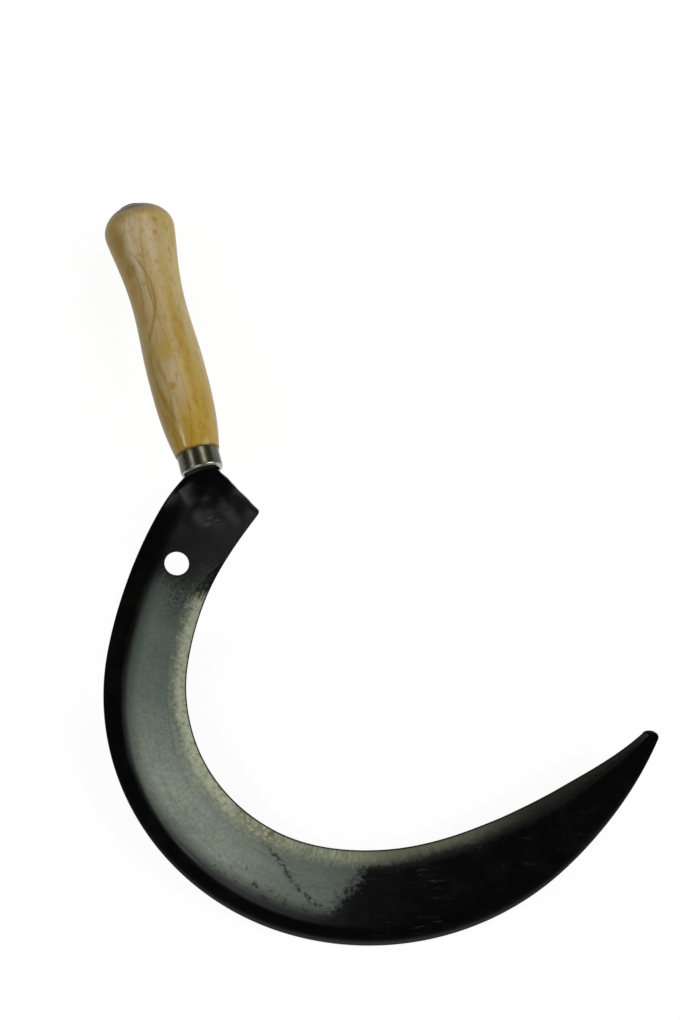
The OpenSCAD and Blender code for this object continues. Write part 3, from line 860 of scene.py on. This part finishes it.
def handle_outline():
    tenon_r = FERRULE_R - FERRULE_WALL - TENON_GAP
    tenon = [(BORE_R, -TENON_L), (tenon_r, -TENON_L), (tenon_r, 0)]
    shoulder = [(SHOULDER_R - EDGE_ROUND * (1 - math.sin(a)), EDGE_ROUND * (1 - math.cos(a)))
                for a in np.radians([0, 30, 60, 90])]
    grip = [(wood_radius(d), d)
            for d in np.concatenate([np.linspace(1, 20, 30), np.linspace(21, BUTT_AT, 110)])]
    dome = [(BUTT_R * math.cos(a), BUTT_AT + DOME_L * math.sin(a))
            for a in np.linspace(0, math.acos(BORE_R / BUTT_R), 40)[1:]]
    return [(r, FERRULE_L + d) for r, d in tenon + shoulder + grip + dome]


print("handle outline has", len(handle_outline()), "points")

# %% [markdown]
# ## Finish of the wood
# The wood is pale beech under a thin varnish. Year rings are shells round the heart of
# the tree, which lay behind the blank and a little slanted: where the lathe cut
# through them they show as long arches. So the rings are measured from a slanted heart
# line, in the handle's own axes, and three arches that stand out are drawn as
# parabolas. Short dark flecks, a rubbed pale front with a painted highlight on it, an
# amber spot, painted shade on the left flank, a dirty line at the ferrule, and an end
# that is darker from its end grain and from painted shade, with a painted shadow by the
# washer's rim, complete it. All its measures are in metres.

# %% Colours and places in the wood
HONEY, AMBER, PALE = (0.46, 0.3, 0.06), (0.48, 0.3, 0.03), (0.52, 0.41, 0.17)
WORN_PALE_AND_HIGHLIGHT, OLIVE, FLECK = (0.64, 0.53, 0.37), (0.28, 0.17, 0.008), (0.2, 0.11, 0.03)
RING_BROWN, SPOT_BROWN = (0.27, 0.125, 0.005), (0.42, 0.22, 0.005)
END_GRAIN_AND_SHADE, PAINTED_END_SHADE, SEAM_DIRT = (0.17, 0.12, 0.06), (0.015, 0.012, 0.01), (0.1, 0.05, 0.015)
HEART_BEHIND, HEART_RIGHT, HEART_SLANT = 0.03, 0.02, -0.03
RING_STEP, RING_FROM = 0.0035, 0.0464
ARCH_W, ARCH_END = 0.0015, 0.008
# top, side and bend of each arch, then where it starts and ends, and its strength
ARCHES = ((0.098, 0.001, -12.8, 0.066, 0.124, 0.62), (0.055, -0.0095, 6.6, 0.02, 0.072, 0.7),
          (0.101, -0.0056, -12.8, 0.084, 0.125, 0.4))
# place of each patch in front, across and along, then its size, strength and colour
PATCHES = (((0.0147, -0.0017, 0.0439), 0.0034, 0.85, SPOT_BROWN),
           ((0.0148, -0.001, 0.0639), 0.009, 0.6, AMBER),
           ((0.0135, -0.0115, 0.128), 0.008, 0.35, RING_BROWN),
           ((0.0138, -0.0085, 0.112), 0.006, 0.35, RING_BROWN),
           ((0.0144, 0.0109, 0.1351), 0.0022, 0.5, RING_BROWN),
           ((0.0144, 0.0093, 0.1286), 0.0018, 0.45, RING_BROWN))
print(len(ARCHES), "arches and", len(PATCHES), "patches")


# %% Wood finish
def handle_coordinates(at):
    """Object coordinates turned into the handle's front, across and along, in metres."""
    axes = Matrix([list(turn_to_rest(v)[0]) for v in (FRONT, ACROSS, ALONG)])
    return add("ShaderNodeMapping", {"Vector": at, "Rotation": axes.to_euler(),
                                     "Location": -(axes @ Vector(MOUTH_AT * MM))})


def arch(along, across, wander, top, side, bend, low, high, strength):
    """A year ring where the lathe cut through it: a line that bends as a parabola."""
    from_top = along - top
    line = from_top * from_top * bend + side
    line = fade(abs(across - line + spread(wander, 0.004)), ARCH_W, 0, 0, strength)
    return line * fade(along, low, low + ARCH_END) * fade(along, high, high - ARCH_END)


def wood_finish():
    material, shader, at = new_finish("wood_finish")
    local = handle_coordinates(at)
    front, across, along = split(local)
    long_grain = stretched(local, (1, 1, 0.16))

    # year rings round a slanted heart, thin where the surface cuts across them
    wander = noise_at(long_grain, 75, 3)
    depth = front + (along * HEART_SLANT + HEART_BEHIND)
    aside = across - HEART_RIGHT
    radius = calc("SQRT", depth * depth + aside * aside)
    ring = calc("FRACT", (radius - RING_FROM + spread(wander, 0.0035)) / RING_STEP)
    from_axis = calc("SQRT", front * front + across * across)
    cut = abs(front * aside - across * depth) / (from_axis * radius)
    late = (fade(ring, 0.74, 0.95) * fade(ring, 1, 0.97) * fade(cut, 0, 0.3, 0.45)
            * fade(across, 0.006, -0.002, 0.35)
            * fade(noise_at(long_grain, 60, 2), 0.35, 0.6, 0.2, 0.6))
    for values in ARCHES:
        late = highest(late, arch(along, across, wander, *values) * fade(front, 0, 0.004))

    # the pale front, partly rubbed varnish and partly a painted highlight, wider on the bulb, and
    # painted shade by the washer's rim at the end
    bulb = fade(along, 0.1, 0.13)
    worn_and_highlight = (fade(across + bulb * 0.003, -0.010, -0.004) * fade(across - bulb * 0.008, 0.008, 0.002)
            * fade(front, 0, 0.006) * fade(along, 0.02, 0.05) * fade(along, 0.146, 0.13, 0.4)
            * fade(noise_at(long_grain, 110, 4), 0.35, 0.6, 0.4) * 0.6)
    blotch = spread(noise_at(local, 220, 3), 0.01)
    # painted shade: a dark band on the dome along the washer's rim
    painted_end_shade = (fade(along, 0.1435, 0.1458) * fade(across + blotch, 0.011, 0.004)
             * fade(front + blotch, -0.008, 0.004) * 0.9)

    # clouds, rings, pores, mottle, flecks, painted shade on the left flank, a darker end of end
    # grain and painted shade, and single patches
    pores = noise_at(stretched(local, (1, 1, 0.05)), 900, 3, 0.6)
    mottle = noise_at(stretched(local, (1, 1, 0.45)), 330, 4, 0.65)
    flecks = speckle(stretched(local, (1, 1, 0.5)), 650, 0.68, 0.72, 1)
    painted_flank_shade = fade(across + front * -0.25, -0.003, -0.018)
    ragged = noise_at(local, 300, 3)
    colour = painted(blend(fade(noise_at(long_grain, 45, 2), 0.4, 0.64), HONEY, PALE),
                     (fade(along, 0.085, 0.02, 0, 0.75), AMBER),
                     (worn_and_highlight, WORN_PALE_AND_HIGHLIGHT),
                     (late, RING_BROWN),
                     (fade(pores, 0.5, 0.75, 0, 0.3), RING_BROWN),
                     (fade(mottle, 0.5, 0.72, 0, 0.5), OLIVE),
                     (fade(mottle, 0.48, 0.3, 0, 0.45), PALE),
                     # the dome is darker end grain, and also painted shade
                     (fade(along, 0.137, 0.147, 0, 0.8), END_GRAIN_AND_SHADE),
                     (painted_end_shade, PAINTED_END_SHADE),
                     (flecks * 0.35, FLECK),
                     (painted_flank_shade * 0.6, OLIVE))
    for place, size, strength, tint in PATCHES:
        away = vector("DISTANCE", local, place) + spread(ragged, size)
        colour = blend(fade(away, size, size / 4, 0, strength), colour, tint)
    seam = fade(along, (FERRULE_L + 1.4) * MM, (FERRULE_L + 0.2) * MM) * 0.75
    colour = blend(seam, colour, SEAM_DIRT)

    # varnish, glossier near the ferrule
    skin = effect(unevenness, local, slow_scale=180, fine_scale=1500, fine_share=0.25)
    plug(shader, base_color=colour, roughness=skin * 0.15 + 0.38, specular_ior_level=0.02,
         coat_weight=0.6, coat_roughness=fade(along, 0.012, 0.03, 0.16, 0.36),
         normal=bump(skin - pores * 0.3, 0.2, 0.0002))
    return material


HANDLE_AXES = (np.zeros(3), FRONT, ACROSS, ALONG)
handle = turn("sickle_handle", handle_outline(), SIDES, wood_finish(), *HANDLE_AXES, sharp_over=50)

# %% [markdown]
# ## The ferrule
# A drawn steel cup holds the end of the wood together. Its lip is turned in round the
# neck and catches the light, so the outline has a rounded shoulder and a thin burr
# inside the mouth. The steel has fine rings from the drawing, hairlines and stains.

# %% Ferrule
LIP_T, MOUTH_R, LIP_ROUND, BURR, RIM_CUT = 1, 8.8, 1.4, 0.2, 0.15
NICKEL, NICKEL_DARK, WORN_LIP_AND_GLINT = (0.105, 0.105, 0.072), (0.03, 0.03, 0.018), (0.42, 0.42, 0.36)


def steel_finish(name, light, dark, roughness, wear, worn_lip_and_glint=None):
    material, shader, at = new_finish(name)
    local = handle_coordinates(at)
    rings = noise_at(stretched(local, (0.12, 0.12, 1)), 2600, 2)
    lines = effect(hairlines, local, stretch=(1, 1, 3), scale=160, share=0.8)
    skin = effect(unevenness, local, slow_scale=200, fine_scale=2200, fine_share=0.4)
    colour = blend(fade(skin, 0.42, 0.62) * wear, light, dark)
    colour = blend(lines * 0.4, colour, tuple(1.3 * c for c in light))
    # the lip is paler: partly worn bare, partly a painted glint
    if worn_lip_and_glint:
        lip = fade(split(local)[2] + spread(skin, 0.0015), 0.0013, 0.0006)
        colour = blend(lip, colour, worn_lip_and_glint)
    relief = rings * 0.5 + (skin - lines * 0.4)
    plug(shader, base_color=colour, metallic=1, roughness=skin * 0.16 + roughness,
         normal=bump(relief, 0.18, 0.0001))
    return material


def ferrule_outline():
    inner = FERRULE_R - FERRULE_WALL
    lip = [(MOUTH_R, LIP_T), (MOUTH_R, BURR), (MOUTH_R + BURR / 3, BURR / 3), (MOUTH_R + BURR, 0)]
    shoulder = [(FERRULE_R - LIP_ROUND * (1 - math.sin(a)), LIP_ROUND * (1 - math.cos(a)))
                for a in np.linspace(0, math.pi / 2, 12)]
    wall = [(FERRULE_R, d) for d in np.linspace(LIP_ROUND, FERRULE_L - RIM_CUT, 12)[1:]]
    rim = [(FERRULE_R - RIM_CUT, FERRULE_L), (inner, FERRULE_L)]
    inside = [(inner, LIP_T + 0.3), (inner - 0.3, LIP_T)]
    return lip + shoulder + wall + rim + inside


ferrule_paint = steel_finish("ferrule_finish", NICKEL, NICKEL_DARK, 0.2, 0.5, WORN_LIP_AND_GLINT)
ferrule = turn("sickle_ferrule", ferrule_outline(), SIDES, ferrule_paint, *HANDLE_AXES)

# %% [markdown]
# ## The butt washer
# A thin washer, struck to the roundness of the dome, spreads the pull of the riveted
# tang over the end grain. It is set a little to the left of the handle's axis, because
# that is where the tang comes out.

# %% Butt washer
WASHER_EDGE = 0.25
WASHER_STEEL, WASHER_DARK = (0.05, 0.05, 0.047), (0.012, 0.011, 0.01)


def washer_outline():
    hole, rim = TANG_END_R + TANG_GAP, WASHER_R

    def shell(sphere, start, end):
        return [(r, math.sqrt(sphere ** 2 - r ** 2)) for r in np.linspace(start, end, 14)]

    return (shell(WASHER_IN, hole, rim - WASHER_EDGE)
            + [(rim, math.sqrt(WASHER_IN ** 2 - rim ** 2) + WASHER_EDGE),
               (rim, math.sqrt(WASHER_OUT ** 2 - rim ** 2) - WASHER_EDGE)]
            + shell(WASHER_OUT, rim - WASHER_EDGE, hole))


washer_paint = steel_finish("washer_finish", WASHER_STEEL, WASHER_DARK, 0.5, 0.8)
washer = turn("sickle_washer", washer_outline(), WASHER_SIDES, washer_paint,
              on_handle(0, 0, DOME_CENTRE), FRONT, END_ACROSS, END_AXIS)

# %% [markdown]
# ## Pieces and CAD nodes
# Each finer piece takes the place of its CAD node and rides on the only body. The table
# also lists the slot of the record that its finish comes from.

# %% Ride and replace
PIECES = ((blade, "blade", "blade_steel"), (ferrule, "ferrule", "ferrule_steel"),
          (handle, "handle", "handle_wood"), (washer, "butt_washer", "washer_steel"))
for piece, node_name, slot_name in PIECES:
    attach(piece, "root")
    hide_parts(node_name)
    corners = np.array([v.co for v in piece.data.vertices])
    low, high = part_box(node_name)
    gap = max(np.abs(corners.min(0) - low).max(), np.abs(corners.max(0) - high).max())
    print(piece.name, len(piece.data.polygons), "faces, box differs by", round(gap / MM, 2), "mm")

# %% [markdown]
# ## Table and light
# The photograph's ground is plain white. The table is white to the camera and to
# reflections, and a part of it stays an ordinary matt surface, so that it keeps the
# sickle's soft shadow. Five soft panels light the sickle: one in front, which the web
# of the blade mirrors towards the camera, a small one for the hollow of the neck, one
# behind and one on the left, which draw the streaks on the handle and the ferrule, and
# a large one on the right, which lights everything evenly.

# %% Table
TABLE_SIZE, TABLE_WHITE, GLOW, GLOW_SHARE = 5.0, 0.9, 1.08, 0.85
TABLE_Z = -0.0001


def table_finish():
    material = bpy.data.materials.new("table_finish")
    material.use_nodes = True
    tree = material.node_tree
    tree.nodes.remove(tree.nodes["Principled BSDF"])
    new = tree.nodes.new
    matt, glow = new("ShaderNodeBsdfDiffuse"), new("ShaderNodeEmission")
    mixed = new("ShaderNodeMixShader")
    matt.inputs["Color"].default_value = (TABLE_WHITE,) * 3 + (1,)
    glow.inputs["Strength"].default_value = GLOW
    rays = new("ShaderNodeLightPath").outputs
    seen = highest(*(Value(rays[name]) for name in ("Is Glossy Ray", "Is Transmission Ray",
                                                    "Is Camera Ray")))
    fill(mixed.inputs[0], seen * GLOW_SHARE)
    tree.links.new(matt.outputs[0], mixed.inputs[1])
    tree.links.new(glow.outputs[0], mixed.inputs[2])
    tree.links.new(mixed.outputs[0], tree.nodes["Material Output"].inputs["Surface"])
    return material


h = TABLE_SIZE / 2
table = new_object("table", [(-h, -h, TABLE_Z), (h, -h, TABLE_Z), (h, h, TABLE_Z),
                             (-h, h, TABLE_Z)], [(0, 1, 2, 3)])
table.data.materials.append(table_finish())
print("table", TABLE_SIZE, "m wide")

# %% Light
# name, place, point that it faces, width, length and power of each panel
PANELS = (("front_panel", (-0.26, -0.89, 1.14), (-0.09, -0.11, 0.03), 0.4, 0.52, 1.8),
          ("neck_panel", (-0.01, -0.45, 1.25), (-0.09, 0.04, 0.06), 0.28, 0.16, 0.7),
          ("back_panel", (0.3, 1.18, 1.02), (-0.11, 0.13, 0.05), 0.5, 0.35, 4.0),
          ("side_panel", (1.25, 0.2, 0.95), (-0.05, 0.05, 0.03), 1.0, 1.0, 12.0),
          ("left_panel", (-1.0, 0.3, 0.94), (-0.1, 0.1, 0.05), 0.6, 0.22, 4.0))
for name, place, aim, width, length, power in PANELS:
    light = bpy.data.lights.new(name, "AREA")
    light.shape, light.size, light.size_y, light.energy = "RECTANGLE", width, length, power
    panel = bpy.data.objects.new(name, light)
    panel.location = place
    panel.rotation_euler = (Vector(aim) - Vector(place)).to_track_quat("-Z", "Y").to_euler()
    bpy.context.scene.collection.objects.link(panel)

ROOM_LIGHT = 0.11
world = bpy.data.worlds.new("room")
bpy.context.scene.world = world
world.use_nodes = True
room = world.node_tree.nodes["Background"]
room.inputs["Color"].default_value = (1, 1, 1, 1)
is_seen = Value(world.node_tree.nodes.new("ShaderNodeLightPath").outputs["Is Camera Ray"])
fill(room.inputs["Strength"], highest(is_seen, ROOM_LIGHT))
bpy.context.scene.view_settings.view_transform = "Standard"
print(len(PANELS), "panels, room light", ROOM_LIGHT)
